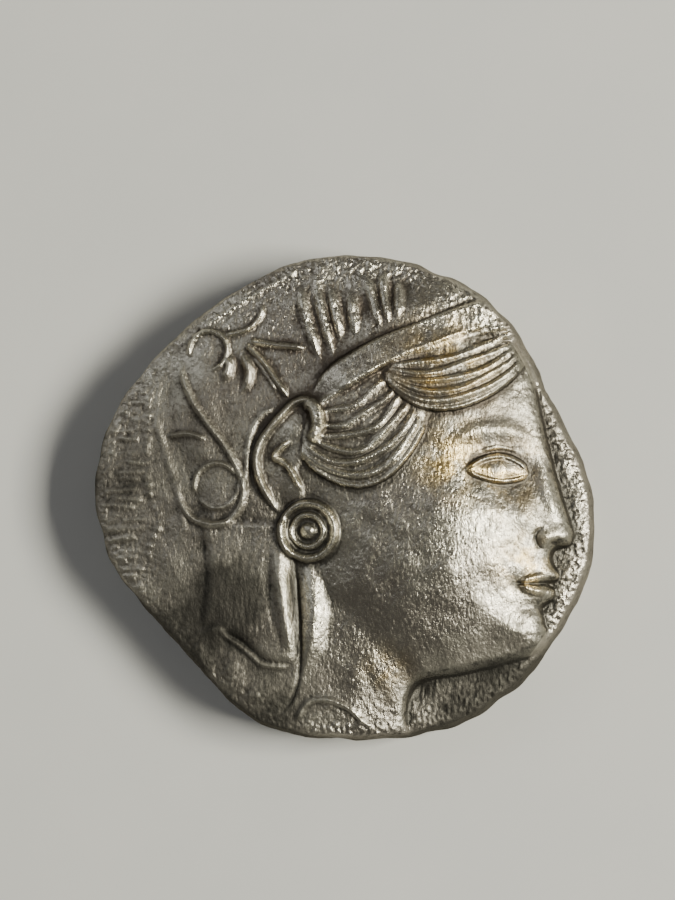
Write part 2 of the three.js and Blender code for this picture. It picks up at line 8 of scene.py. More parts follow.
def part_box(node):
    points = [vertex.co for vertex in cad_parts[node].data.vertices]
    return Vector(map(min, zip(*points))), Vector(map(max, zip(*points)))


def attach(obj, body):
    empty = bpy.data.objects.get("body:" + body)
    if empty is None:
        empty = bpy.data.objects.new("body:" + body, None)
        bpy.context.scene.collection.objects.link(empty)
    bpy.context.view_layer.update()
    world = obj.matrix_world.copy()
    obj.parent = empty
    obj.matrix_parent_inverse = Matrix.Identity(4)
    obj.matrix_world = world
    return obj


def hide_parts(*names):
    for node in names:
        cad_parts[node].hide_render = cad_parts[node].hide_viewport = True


# A silver tetradrachm of the Athenian type lies on its back: a helmeted head in high relief on the front,
# an owl in a sunken square underneath. Each side is cut as a raster of heights in mm, a die, with a few
# relief tools; the coin's mesh is then struck from the two dies. Sizes are mm until the mesh is made.

# ---------------------------------------------------------------- driving sizes
FLAN_RADIUS = 11.77         # mean radius of the disc
# Slow waves of its outline: how many round the rim, swing, degrees of the first crest
FLAN_WAVES = [(1, 0.22, 8), (2, 0.35, -39), (3, 0.29, -55), (4, 0.27, -11), (5, 0.08, -32), (6, 0.11, 0),
              (7, 0.10, -6)]
FLAN_DENTS = 0.035          # small dents of the outline
RIM_HEIGHT = 2.54           # height of the front's edge above the surface the coin lies on
FIELD_RISE = 0.55           # how much the bare front rises from its edge to the middle
FRONT_BEVEL = 0.3           # how far the front's edge lies inside the widest outline
BACK_BEVEL = 0.5            # the same for the back
ROLL = 0.5                  # width of the rounded lip along the front's edge
ROLL_DROP = 0.16            # how far the lip falls to the edge

EDGE_HEIGHT = 0.38          # the step round the head and neck
FACE_HEIGHT = 0.97          # how far the face swells above that step
NECK_HEIGHT = 0.76          # how far the other big forms stand above the bare front
NAPE_HEIGHT = 0.98
HELMET_HEIGHT = 1.02
CREST_HEIGHT = 0.78
HEAD_SWELL = 0.7            # the rise from the edges of the head to its middle

FACE_THIRD = 5.1            # hairline to brow, brow to nose, nose to chin
HAIRLINE_Y = 7.8
BROW_Y = HAIRLINE_Y - FACE_THIRD
NOSE_Y = BROW_Y - FACE_THIRD
CHIN_Y = NOSE_Y - FACE_THIRD
MOUTH_Y = NOSE_Y - FACE_THIRD / 3
EYE_Y = BROW_Y - 0.27 * FACE_THIRD
FACE_X = 9.9                # the profile at the brow
EARRING = (-1.45, -1.61)
EARRING_RADIUS = 1.6
CURL = (-5.9, 0.55)         # middle of the scroll on the helmet

SQUARE_SIDE = 15.2          # the sunken square of the back
SQUARE_DEPTH = 0.85
SQUARE_SLOPE = 0.45         # width of its sloping wall
BACK_MIDDLE = (0.4, 0.1)
BACK_TURN = -26             # degrees the back is turned against the front

CELL = 0.05                 # pitch of the dies
DIE_HALF = 12.9             # half the side of a die
FRONT_GRID = 500            # squares across the front's mesh before it is thinned
BACK_GRID = 250
SIDE_ROWS = 16              # rows of faces down the side
SIDE_LUMPS = 0.035          # how far the side's lumps stand out
SIDE_INSET = 0.07           # how far the side lies in, to leave room for them
PATH_POINTS = 25            # points along a path between two others
CLEARANCE = 0.02            # the front is lowered by this, and ends twice as far under the solid's top
TRIANGLES = 190_000         # what the thinned mesh keeps


# ---------------------------------------------------------------- curves and sections
def flan_radius(angle):
    """Distance from the middle of the coin to its outline, at an angle in radians."""
    radius = FLAN_RADIUS
    for count, swing, crest in FLAN_WAVES:
        radius = radius + swing * np.cos(count * (angle - math.radians(crest)))
    return radius


def smooth_curve(points, closed=False, steps=8):
    """A Catmull-Rom curve through a few points."""
    p = np.array(points, float)
    if closed:
        p = np.vstack([p[-1], p, p[0], p[1]])
    else:
        p = np.vstack([2 * p[0] - p[1], p, 2 * p[-1] - p[-2]])
    t = np.linspace(0, 1, steps, endpoint=False)[:, None]
    runs = [b + 0.5 * t * (c - a + t * (2 * a - 5 * b + 4 * c - d + t * (3 * b - a - 3 * c + d)))
            for a, b, c, d in zip(p, p[1:], p[2:], p[3:])]
    curve = np.vstack(runs)
    return curve if closed else np.vstack([curve, p[-2]])


def even_points(path, count=PATH_POINTS):
    """Points at even distances along a path."""
    run = np.r_[0, np.cumsum(np.hypot(*np.diff(path, axis=0).T))]
    at = np.linspace(0, run[-1], count)
    return np.column_stack([np.interp(at, run, path[:, 0]), np.interp(at, run, path[:, 1])])


def between(first, last, share):
    """A path a share of the way from one path to another."""
    return (1 - share) * even_points(smooth_curve(first)) + share * even_points(smooth_curve(last))


def arc(middle, start_radius, end_radius, start, end, steps=24):
    """Points on a circle, or a spiral where the radius changes, between two angles in degrees."""
    t = np.linspace(0, 1, steps)
    angle = np.radians(start + (end - start) * t)
    radius = start_radius + (end_radius - start_radius) * t
    return np.column_stack([middle[0] + radius * np.cos(angle), middle[1] + radius * np.sin(angle)])


def ease(t):
    t = np.clip(t, 0, 1)
    return t * t * (3 - 2 * t)


def quarter_round(t):
    return np.sqrt(1 - (1 - np.clip(t, 0, 1)) ** 2)


def bulge(t):
    return 1 - (1 - np.clip(t, 0, 1)) ** 2


def hump(u):
    return ease(1 - np.abs(u))


def flat_top(u):
    return quarter_round((1 - np.abs(u)) * 2.2)


def smooth_max(a, b, reach=0.12):
    """The higher of two layers, with the crease between them filled over a small reach."""
    h = np.clip(0.5 + 0.5 * (a - b) / reach, 0, 1)
    return b + (a - b) * h + reach * h * (1 - h)


def blur(z, reach):
    """A Gaussian blur; its reach is in mm."""
    cells = reach / CELL
    size = int(3 * cells) + 1
    kernel = np.exp(-0.5 * (np.arange(-size, size + 1) / cells) ** 2)
    kernel /= kernel.sum()
    padded = np.pad(z, size, mode="edge")
    rows = sum(w * padded[k:k + z.shape[0], :] for k, w in enumerate(kernel))
    return sum(w * rows[:, k:k + z.shape[1]] for k, w in enumerate(kernel))


def grain(coarse, fine, seed, stretch=(1, 1)):
    """Random grain over a die with features between two sizes in mm; mean 0, spread 1."""
    count = int(round(2 * DIE_HALF / CELL)) + 1
    spectrum = np.fft.rfft2(np.random.default_rng(seed).standard_normal((count, count)))
    fx = np.fft.rfftfreq(count, CELL)[None, :] * stretch[0]
    fy = np.fft.fftfreq(count, CELL)[:, None] * stretch[1]
    f = np.hypot(fx, fy) + 1e-6
    band = np.exp(-(f * fine) ** 2) * (1 - np.exp(-(f * coarse) ** 2))
    z = np.fft.irfft2(spectrum * band, s=(count, count))
    return z / z.std()


class Die:
    """A square raster of heights in mm, and the tools that raise them."""

    def __init__(self):
        axis = np.linspace(-DIE_HALF, DIE_HALF, int(round(2 * DIE_HALF / CELL)) + 1)
        self.x, self.y = np.meshgrid(axis, axis)
        self.radius = np.hypot(self.x, self.y)
        self.angle = np.arctan2(self.y, self.x)
        self.from_rim = flan_radius(self.angle) - FRONT_BEVEL - self.radius

    def blank(self):
        return np.zeros_like(self.x)

    def window(self, path, reach):
        count = len(self.x)
        low, high = np.min(path, 0) - reach, np.max(path, 0) + reach
        i0, j0 = [int(np.clip((v + DIE_HALF) / CELL, 0, count)) for v in low]
        i1, j1 = [int(np.clip((v + DIE_HALF) / CELL + 2, 0, count)) for v in high]
        return slice(j0, j1), slice(i0, i1)

    def follow(self, path, where):
        """Distance to a path, and the share of its length at the nearest point."""
        x, y = self.x[where], self.y[where]
        nearest = np.full(x.shape, 1e9)
        share = np.zeros(x.shape)
        run = np.r_[0, np.cumsum(np.hypot(*np.diff(path, axis=0).T))]
        for k, ((ax, ay), (bx, by)) in enumerate(zip(path, path[1:])):
            dx, dy = bx - ax, by - ay
            t = np.clip(((x - ax) * dx + (y - ay) * dy) / (dx * dx + dy * dy + 1e-12), 0, 1)
            distance = (x - ax - t * dx) ** 2 + (y - ay - t * dy) ** 2
            nearer = distance < nearest
            nearest = np.where(nearer, distance, nearest)
            share = np.where(nearer, run[k] + t * (run[k + 1] - run[k]), share)
        return np.sqrt(nearest), share / run[-1]

    def inside(self, path, where):
        x, y = self.x[where], self.y[where]
        odd = np.zeros(x.shape, bool)
        for (ax, ay), (bx, by) in zip(path, np.roll(path, -1, 0)):
            if ay != by:
                odd ^= ((ay > y) != (by > y)) & (x < ax + (y - ay) * (bx - ax) / (by - ay))
        return odd

    def stroke(self, layer, points, width, height, ends=0.15, section=hump):
        """A ridge along a smooth curve, tapered at both ends; the higher of it and the layer is kept."""
        path = smooth_curve(points)
        where = self.window(path, width)
        distance, share = self.follow(path, where)
        taper = np.minimum(ease(share / ends + 0.05), ease((1 - share) / ends + 0.05))
        ridge = height * taper * section(distance / (width / 2 * np.sqrt(np.clip(taper, 0.05, 1))))
        layer[where] = np.maximum(layer[where], ridge)

    def strokes(self, *strokes, **options):
        """One layer of several ridges, each given as points, width and height."""
        layer = self.blank()
        for points, width, height in strokes:
            self.stroke(layer, points, width, height, **options)
        return layer

    def strands(self, first, last, count, width, height):
        """Wavering hairs side by side, from one path to another; they grow broader and bolder on the way."""
        ridges = []
        for k in range(count):
            share = (k / (count - 1)) ** 0.85
            waver = 0.1 * share * (1 - share) * np.sin(np.linspace(0, 10, PATH_POINTS) + 2.4 * k)
            path = between(first, last, share + waver[:, None])
            ridges.append((path, width * (0.7 + 0.5 * share), height * (0.55 + 0.7 * share)))
        return self.strokes(*ridges, ends=0.1)

    def plate(self, path, height, edge, section=quarter_round):
        """A raised area with a rounded edge."""
        layer = self.blank()
        where = self.window(path, 0)
        distance, _ = self.follow(np.vstack([path, path[:1]]), where)
        layer[where] = np.where(self.inside(path, where), height * section(distance / edge), 0)
        return layer

    def dome(self, middle, radii, height, turn=0.0):
        c, s = math.cos(math.radians(turn)), math.sin(math.radians(turn))
        u = ((self.x - middle[0]) * c + (self.y - middle[1]) * s) / radii[0]
        v = ((self.y - middle[1]) * c - (self.x - middle[0]) * s) / radii[1]
        return height * np.exp(-u * u - v * v)

    def ring(self, middle, radius, width, height):
        away = np.hypot(self.x - middle[0], self.y - middle[1])
        return height * hump((away - radius) / (width / 2))


# ---------------------------------------------------------------- front: outlines of a helmeted head
PROFILE = [(8.3, 7.6), (9.15, 5.9), (FACE_X - 0.25, BROW_Y + 1.1), (FACE_X, BROW_Y),
           (FACE_X + 0.5, BROW_Y - 2.0), (FACE_X + 1.05, NOSE_Y + 1.25), (FACE_X + 1.22, NOSE_Y + 0.62),
           (FACE_X + 1.02, NOSE_Y + 0.12), (FACE_X + 0.32, NOSE_Y - 0.12), (FACE_X + 0.2, NOSE_Y - 0.65),
           (FACE_X + 0.48, MOUTH_Y + 0.5), (FACE_X + 0.42, MOUTH_Y + 0.16), (FACE_X + 0.02, MOUTH_Y - 0.02),
           (FACE_X + 0.28, MOUTH_Y - 0.3), (FACE_X + 0.2, MOUTH_Y - 0.72), (FACE_X - 0.28, MOUTH_Y - 1.15),
           (FACE_X - 0.22, MOUTH_Y - 1.75), (FACE_X - 0.12, MOUTH_Y - 2.3), (FACE_X - 0.35, CHIN_Y + 0.35),
           (FACE_X - 1.0, CHIN_Y - 0.12)]
HEAD_BACK = [(-5.0, 0.0), (-5.5, 5.0), (0.0, 9.5), (6.0, 10.0)]
JAW = [(7.4, CHIN_Y - 0.55), (5.6, CHIN_Y - 0.95), (3.9, CHIN_Y - 1.1), (2.0, CHIN_Y - 0.6),
       (0.2, CHIN_Y + 0.6), (-1.2, CHIN_Y + 2.2), (-2.4, -2.6)] + HEAD_BACK
THROAT = [(7.4, CHIN_Y - 0.55), (5.6, CHIN_Y - 0.95), (4.3, CHIN_Y - 1.15), (3.5, -9.1), (3.1, -10.4),
          (3.0, -13.5), (-5.5, -13.5), (-5.5, -6.0)] + HEAD_BACK
NECK = [(-3.0, -1.0), (3.0, -3.0), (4.6, -6.9), (3.7, -8.4), (3.25, -9.4), (3.0, -10.4), (2.95, -13.5),
        (-6.5, -13.5), (-8.6, -9.5), (-7.3, -6.6), (-5.4, -5.4), (-3.5, -4.0)]
NAPE = [(-6.9, -0.5), (-4.5, -0.8), (-2.2, -1.0), (-2.05, -3.7), (-1.95, -5.7), (-1.9, -7.7), (-2.6, -8.15),
        (-3.6, -8.0), (-4.4, -7.4), (-5.2, -6.75), (-6.2, -6.4), (-6.95, -6.1), (-6.8, -4.9), (-6.65, -3.4),
        (-6.8, -1.9)]
HELMET = [(0.8, 3.2), (2.8, 4.8), (5.0, 6.4), (9.0, 7.8), (10.5, 12.0), (4.0, 15.0), (-4.0, 13.0),
          (-8.0, 9.0), (-8.85, 6.2), (-8.95, 4.4), (-8.75, 3.0), (-8.3, 1.9), (-7.85, 0.6), (-7.4, -1.0),
          (-6.75, -2.3), (-4.6, -2.1), (-2.2, -1.8), (-1.0, 1.6)]
CREST = [(-8.6, 9.0), (-7.2, 7.0), (-6.8, 2.0), (-5.6, -2.0), (-5.2, -6.0), (-5.4, -8.5), (-7.0, -11.5),
         (-13.5, -10.5), (-15.5, 0.0), (-13.0, 7.5), (-10.5, 9.5)]
VISOR = [(-1.35, 4.62), (0.03, 5.64), (1.45, 6.51), (2.79, 7.18), (4.38, 7.8), (5.97, 8.39), (7.65, 8.82),
         (8.6, 8.9)]
FRONT_HAIR_TOP = [(2.35, 6.3), (3.5, 6.75), (4.9, 7.2), (6.2, 7.65), (7.4, 8.0), (8.3, 8.2)]
FRONT_HAIR_END = [(2.0, 5.78), (2.96, 4.72), (4.21, 4.1), (5.72, 4.13), (7.23, 4.77), (8.4, 5.73),
                  (9.0, 6.73)]
TEMPLE_HAIR_TOP = [(-0.95, 4.35), (-0.2, 4.85), (0.85, 5.45), (1.9, 6.05)]
TEMPLE_HAIR_END = [(-1.82, 1.96), (-0.98, 1.12), (0.19, 0.53), (1.36, 0.42), (2.54, 0.95), (3.46, 1.96),
                   (4.04, 2.96), (4.18, 3.63)]
HELIX = [(-2.86, -0.81), (-3.36, 0.03), (-3.74, 0.79), (-3.93, 1.62), (-3.79, 2.46), (-3.32, 3.21),
         (-2.65, 3.97), (-2.07, 4.5), (-1.4, 4.6), (-0.86, 4.05), (-0.78, 3.21), (-1.23, 2.24)]
EAR_BACK = [(-1.9, 1.3), (-1.6, 0.2), (-2.1, -0.5)]


def big_forms(die):
    """Face, neck, helmet, nape and crest, each a plate on the bare front; the head swells over all."""
    profile = smooth_curve(PROFILE)
    z = die.plate(np.vstack([profile, smooth_curve(THROAT, steps=5)]), EDGE_HEIGHT, 0.6)
    z += die.plate(np.vstack([profile, smooth_curve(JAW, steps=5)]), FACE_HEIGHT, 5.2, section=bulge)
    for outline, height, edge in ((NECK, NECK_HEIGHT, 3.0), (HELMET, HELMET_HEIGHT, 2.4),
                                  (NAPE, NAPE_HEIGHT, 0.7), (CREST, CREST_HEIGHT, 0.9)):
        z = smooth_max(z, die.plate(smooth_curve(outline, closed=True, steps=5), height, edge))
    return z + die.dome((2.2, -0.6), (10.0, 11.2), HEAD_SWELL) * np.clip(z / 0.35, 0, 1)


def eye_and_brow(die):
    outer, inner = (6.0, EYE_Y - 0.12), (9.0, EYE_Y - 0.22)
    upper = [outer, (6.8, EYE_Y + 0.42), (7.75, EYE_Y + 0.6), (8.6, EYE_Y + 0.28), inner]
    lower = [outer, (6.9, EYE_Y - 0.48), (7.8, EYE_Y - 0.62), (8.6, EYE_Y - 0.48), inner]
    brow = [(5.2, BROW_Y - 0.35), (6.5, BROW_Y + 0.35), (8.0, BROW_Y + 0.5), (9.35, BROW_Y - 0.2)]
    fold = [(6.3, EYE_Y + 0.62), (7.6, EYE_Y + 1.02), (8.8, EYE_Y + 0.7)]
    almond = np.vstack([smooth_curve(upper), smooth_curve(lower)[::-1]])
    z = die.plate(almond, 0.34, 0.8) + die.dome((7.65, EYE_Y), (0.6, 0.45), 0.08)
    z -= die.dome((7.9, EYE_Y - 0.05), (2.1, 1.2), 0.42, turn=-4)
    z += die.strokes((upper, 0.36, 0.3), (lower, 0.3, 0.24))
    return z + die.strokes((brow, 1.3, 0.17), (fold, 0.24, 0.12), ends=0.4)


def nose_and_mouth(die):
    bridge = [(9.35, BROW_Y - 0.5), (9.75, BROW_Y - 2.0), (10.35, NOSE_Y + 1.0)]
    wing = [(FACE_X - 0.15, NOSE_Y + 1.05), (FACE_X - 0.6, NOSE_Y + 0.6), (FACE_X - 0.5, NOSE_Y + 0.05),
            (FACE_X - 0.15, NOSE_Y - 0.12)]
    corner = (8.45, MOUTH_Y - 0.02)
    z = die.strokes((bridge, 1.1, 0.16), ends=0.4) - die.strokes((wing, 0.3, 0.16), ends=0.3)
    z += die.dome((FACE_X - 0.02, NOSE_Y + 0.45), (0.42, 0.38), 0.26)
    z += die.dome((FACE_X + 0.78, NOSE_Y + 0.62), (0.42, 0.42), 0.14)
    z -= die.dome((FACE_X + 0.32, NOSE_Y + 0.2), (0.24, 0.13), 0.2, turn=-10)
    z += die.strokes(([corner, (9.2, MOUTH_Y + 0.26), (10.0, MOUTH_Y + 0.32)], 0.52, 0.24),
                     ([corner, (9.15, MOUTH_Y - 0.3), (9.9, MOUTH_Y - 0.36)], 0.56, 0.26), ends=0.3)
    z -= die.strokes(([(8.3, MOUTH_Y), (9.2, MOUTH_Y - 0.02), (10.0, MOUTH_Y + 0.02)], 0.16, 0.2))
    z -= die.dome((8.25, MOUTH_Y), (0.35, 0.4), 0.1)
    return z


def cheek_and_chin(die):
    z = die.dome((5.6, -2.0), (2.9, 3.3), 0.32, turn=20) + die.dome((9.0, CHIN_Y + 1.15), (0.8, 0.85), 0.2)
    z -= die.dome((8.3, 0.1), (1.0, 1.5), 0.1, turn=30) + die.dome((7.2, -4.3), (1.3, 1.0), 0.1)
    return z - die.dome((9.3, MOUTH_Y - 1.12), (0.75, 0.28), 0.15)


def hair_and_visor(die):
    """Two bunches of wavy hair that hang from under the visor; the front one lies over the other."""
    under_visor = smooth_curve(VISOR)[::-1]
    front = die.plate(np.vstack([smooth_curve(FRONT_HAIR_END), under_visor[:36]]), 0.28, 0.5)
    temple = die.plate(np.vstack([smooth_curve(TEMPLE_HAIR_END), under_visor[-40:]]), 0.22, 0.5)
    front_locks = die.strands(FRONT_HAIR_TOP, FRONT_HAIR_END, 7, 0.52, 0.21)
    front_locks = np.maximum(front_locks, die.strokes((FRONT_HAIR_END, 0.62, 0.26)))
    front_locks += die.strands(FRONT_HAIR_TOP, FRONT_HAIR_END, 17, 0.2, 0.035)
    temple_locks = die.strands(TEMPLE_HAIR_TOP, TEMPLE_HAIR_END, 8, 0.52, 0.21)
    temple_locks += die.strands(TEMPLE_HAIR_TOP, TEMPLE_HAIR_END, 19, 0.2, 0.035)
    hair = np.where(front > 0, front + front_locks, (temple + temple_locks) * (temple > 0))
    band = die.strokes((VISOR, 1.6, 0.5), ends=0.2, section=flat_top)
    hems = die.strokes(([(x - 0.3, y + 0.52) for x, y in VISOR], 0.3, 0.07),
                       ([(x + 0.25, y - 0.48) for x, y in VISOR], 0.3, 0.06))
    behind = die.strokes(([(x - 0.5, y + 0.95) for x, y in VISOR[1:]], 3.6, 0.4), ends=0.5)
    return np.maximum(np.maximum(hair, behind), band) + hems


STEM = [(-7.75, 7.0), (-7.6, 5.9), (-7.1, 4.7), (-6.35, 3.6), (-5.55, 2.6), (-4.95, 1.6), (-4.55, 0.5),
        (-4.75, -0.5), (-5.4, -1.15), (-6.3, -1.25), (-7.2, -0.85), (-7.75, 0.1), (-7.65, 1.1)]
LEFT_LEAF = [[(-1.95, 10.4), (-1.7, 9.0), (-1.3, 7.7), (-0.9, 6.5)],
             [(-1.2, 10.8), (-0.9, 9.15), (-0.5, 7.65), (-0.25, 6.5)],
             [(-0.5, 10.3), (-0.2, 8.9), (0.12, 7.4)],
             [(0.45, 10.0), (0.62, 9.0), (0.78, 7.6)]]
RIGHT_LEAF = [[(1.22, 10.8), (1.6, 9.5), (2.02, 8.0)], [(2.05, 11.1), (2.16, 9.65), (2.42, 8.1)],
              [(2.85, 10.5), (2.84, 9.4), (2.8, 8.4)]]


def helmet_ornament(die):
    """The palmette behind the visor with its scroll, and the leaves above."""
    lines = [(STEM, 0.52, 0.23), (arc(CURL, 1.08, 1.12, 200, 20), 0.32, 0.2),
             (arc(CURL, 1.12, 1.0, 20, -150), 0.26, 0.14),
             (arc((-6.35, 7.1), 0.95, 0.95, 205, -95), 0.34, 0.24),
             ([(-8.35, 3.0), (-7.3, 3.1), (-6.4, 2.8)], 0.36, 0.2),
             ([(-5.6, 7.85), (-4.9, 7.95), (-4.2, 8.25), (-3.75, 8.9), (-3.85, 9.4)], 0.36, 0.24),
             ([(-4.55, 7.45), (-3.6, 6.45), (-2.9, 5.45), (-2.4, 4.75)], 0.46, 0.3),
             ([(-4.4, 7.55), (-3.4, 7.35), (-1.6, 7.15)], 0.44, 0.26),
             ([(-4.2, 6.8), (-3.5, 5.9), (-2.95, 5.0)], 0.24, 0.14)]
    petals = [([(-5.45, 7.0), (-5.3, 6.3), (-5.6, 5.5)], 0.75, 0.3),
              ([(-4.8, 7.1), (-4.35, 6.2), (-4.4, 5.5), (-4.8, 4.95)], 0.75, 0.3)]
    ribs = [(rib, 0.85, 0.26) for rib in LEFT_LEAF + RIGHT_LEAF]
    gaps = [(between(a, b, 0.5), 0.3, 0.12)
            for leaf in (LEFT_LEAF, RIGHT_LEAF) for a, b in zip(leaf, leaf[1:])]
    return np.maximum(die.strokes(*lines), die.strokes(*petals, *ribs, ends=0.35)) - die.strokes(*gaps)


def ear(die):
    cut_out = [(-4.66, 0.03), (-4.41, 1.29), (-4.36, 2.29), (-4.16, 3.21), (-3.66, 3.97), (-2.91, 4.4)]
    inner = [(-2.2, 2.75), (-3.05, 1.95), (-2.39, 1.46), (-1.65, 0.2)]
    z = die.plate(smooth_curve(HELIX + EAR_BACK, closed=True), 0.12, 0.4)
    z += die.dome((-2.1, 3.2), (0.5, 0.6), 0.12)
    lobe = [(-1.75, 4.5), (-1.15, 4.15), (-0.95, 3.3), (-1.25, 2.5)]
    return z + die.strokes((HELIX, 0.6, 0.46), (lobe, 0.85, 0.42), (inner, 0.38, 0.3), (cut_out, 0.4, 0.12))


def earring(die):
    away = np.hypot(die.x - EARRING[0], die.y - EARRING[1])
    boss = 0.34 * np.sqrt(np.clip(1 - (away / 0.38) ** 2, 0, 1))
    disc = 0.1 * ease((EARRING_RADIUS - away) / 0.25)
    return disc + die.ring(EARRING, 1.3, 0.6, 0.34) + die.ring(EARRING, 0.76, 0.42, 0.28) + boss


def neck_and_hem(die):
    """Two long locks with a groove between them, the hem of the neck guard, and the folds below."""
    back_lock = [(-3.05, -2.0), (-2.86, -3.57), (-2.62, -5.24), (-2.32, -6.92), (-2.15, -7.8)]
    front_lock = [(-1.55, -2.9), (-1.3, -4.41), (-1.2, -5.75), (-1.4, -7.1), (-1.85, -8.6)]
    groove = [(-2.1, -3.0), (-2.0, -4.4), (-1.88, -6.1), (-1.85, -7.76), (-2.15, -9.26), (-2.9, -10.4)]
    hem = [(-6.54, -6.38), (-5.84, -6.25), (-5.37, -6.68), (-4.83, -7.02), (-4.25, -7.5), (-3.76, -7.91),
           (-2.92, -8.04), (-2.29, -7.91)]
    arch = [(-2.15, -10.92), (-1.9, -10.2), (-1.47, -9.72), (-0.83, -9.61), (-0.19, -9.72), (0.54, -10.1),
            (1.13, -10.69), (1.7, -10.97)]
    z = die.strokes((back_lock, 1.3, 0.34), (front_lock, 1.7, 0.38), ends=0.4)
    z -= die.strokes((groove, 0.34, 0.12))
    z += die.strokes((hem, 0.4, 0.16), (arch, 0.4, 0.16))
    lumps = [((-6.0, -6.4), (0.62, 0.32), 0.2, -15), ((-5.2, -8.3), (0.5, 0.9), 0.16, 20),
             ((-3.9, -9.4), (0.9, 0.5), 0.16, 30), ((-6.6, -7.7), (0.3, 0.7), 0.14, 35)]
    for middle, radii, height, turn in lumps:
        z += die.dome(middle, radii, height, turn)
    return z - die.dome((3.75, -9.2), (0.6, 0.55), 0.2)


def crest(die):
    """Worn hairs that run out to the rim from a beaded line, and the ridge at the back of the helmet."""
    rng = np.random.default_rng(5)
    ridge = [(-8.78, 4.4), (-8.88, 3.6), (-8.63, 2.9), (-8.35, 2.0), (-7.95, 0.8), (-7.66, -0.6),
             (-7.34, -1.9)]
    upper = [(-6.87, 8.14), (-5.27, 9.11), (-3.96, 9.91), (-2.44, 10.73)]
    bead_line = [(-9.45, 5.2), (-9.32, 3.5), (-9.27, 0.9), (-8.88, -0.4), (-8.73, -1.1), (-9.2, -2.6)]
    hairs = []
    for y in np.arange(5.6, -4.6, -0.47):
        y += rng.uniform(-0.16, 0.16)
        root, length, droop = rng.uniform(-9.9, -9.3), rng.uniform(0.9, 2.2), rng.uniform(-0.2, 0.2)
        hairs.append(([(root, y), (root - length / 2, y + 0.5 * droop), (root - length, y + droop)],
                      rng.uniform(0.3, 0.5), rng.uniform(0.03, 0.1)))
    z = die.strokes(*hairs)
    for x, y in even_points(smooth_curve(bead_line), 22):
        place = (x + rng.uniform(-0.1, 0.1), y + rng.uniform(-0.08, 0.08))
        z = np.maximum(z, die.dome(place, rng.uniform(0.12, 0.2, 2), rng.uniform(0.05, 0.13)))
    return z + die.strokes((ridge, 0.5, 0.06), (upper, 0.35, 0.1))


def front_wear(die, z):
    """Grain, pits, flow lines and slow unevenness, as on a coin struck by hand and long in the ground."""
    lively = np.clip(ease((die.y - 5.5) / 3) + 0.5 * ease((-8.2 - die.x) / 1.5), 0, 1)
    on_nape = die.plate(smooth_curve(NAPE, closed=True), 1.0, 0.6)
    below_neck = ease((die.x - 2.9) / 0.5) * ease((-7.9 - die.y) / 0.8)
    near_rim = ease(1 - die.from_rim / 2.2)
    calm_left = 1 - 0.4 * ease(-die.x / 8)
    pits = ease((grain(0.8, 0.22, 11) - 1.3) / 1.2)
    z = z + 0.02 * grain(6.0, 1.4, 1) + (0.006 + 0.004 * lively) * grain(0.5, 0.1, 2)
    z -= (0.008 + 0.04 * lively) * pits
    z += 0.007 * on_nape * grain(1.2, 0.14, 3, stretch=(1, 9))
    z += 0.01 * below_neck * grain(1.0, 0.12, 4, stretch=(1, 7))
    return z + 0.028 * near_rim * calm_left * grain(1.2, 0.22, 6)


def front_die():
    """Height of the front above the surface the coin lies on."""
    die = Die()
    z = big_forms(die) + cheek_and_chin(die) + eye_and_brow(die) + nose_and_mouth(die) + hair_and_visor(die)
    trim = np.maximum(helmet_ornament(die), crest(die)) + ear(die)
    on_earring = np.hypot(die.x - EARRING[0], die.y - EARRING[1]) < EARRING_RADIUS
    z += np.where(on_earring, earring(die), trim) + neck_and_hem(die)
    z = blur(z, 0.035)
    z += RIM_HEIGHT + FIELD_RISE * (1 - (die.radius / flan_radius(die.angle)) ** 3)
    z -= ROLL_DROP * (1 - quarter_round(die.from_rim / ROLL))
    return front_wear(die, z)


# ---------------------------------------------------------------- back: an owl in a sunken square
# It is drawn as it looks from behind, upright, with the middle of the square at 0, 0.
OWL_BODY = [(1.6, 1.9), (2.3, 0.2), (1.9, -1.9), (0.6, -3.3), (-1.2, -4.2), (-2.6, -4.9), (-2.7, -3.2),
            (-2.1, -0.9), (-1.0, 1.2), (-0.4, 2.3)]


def owl(die):
    head = arc((0.8, 3.2), 1.85, 1.85, 0, 345)
    mass = np.maximum(die.plate(smooth_curve(OWL_BODY, closed=True), 0.55, 1.3), die.plate(head, 0.55, 1.0))
    feathers = [([(-0.9 + 0.5 * k, 1 - 0.5 * k), (-1.5 + 0.35 * k, -1.4 - 0.35 * k),
                  (-2.3 + 0.35 * k, -3.9 + 0.12 * k)], 0.4, 0.12) for k in range(4)]
    detail = die.strokes(*feathers, ([(0.82, 3.2), (0.85, 2.5)], 0.3, 0.14))
    for x in (0.2, 1.45):
        eye = die.ring((x, 3.45), 0.5, 0.32, 0.14) + die.dome((x, 3.45), (0.16, 0.16), 0.12)
        detail = np.maximum(detail, eye)
    legs = [([(x, -3.0), (x + 0.25, -5.2)], 0.5, 0.35) for x in (0.3, 1.3)]
    toes = [([(x + 0.2, -5.1), (x + 0.25 + toe, -5.7)], 0.3, 0.28)
            for x in (0.3, 1.3) for toe in (-0.5, 0.1, 0.7)]
    return np.maximum(mass + detail * (mass > 0.1), die.strokes(*legs, *toes))


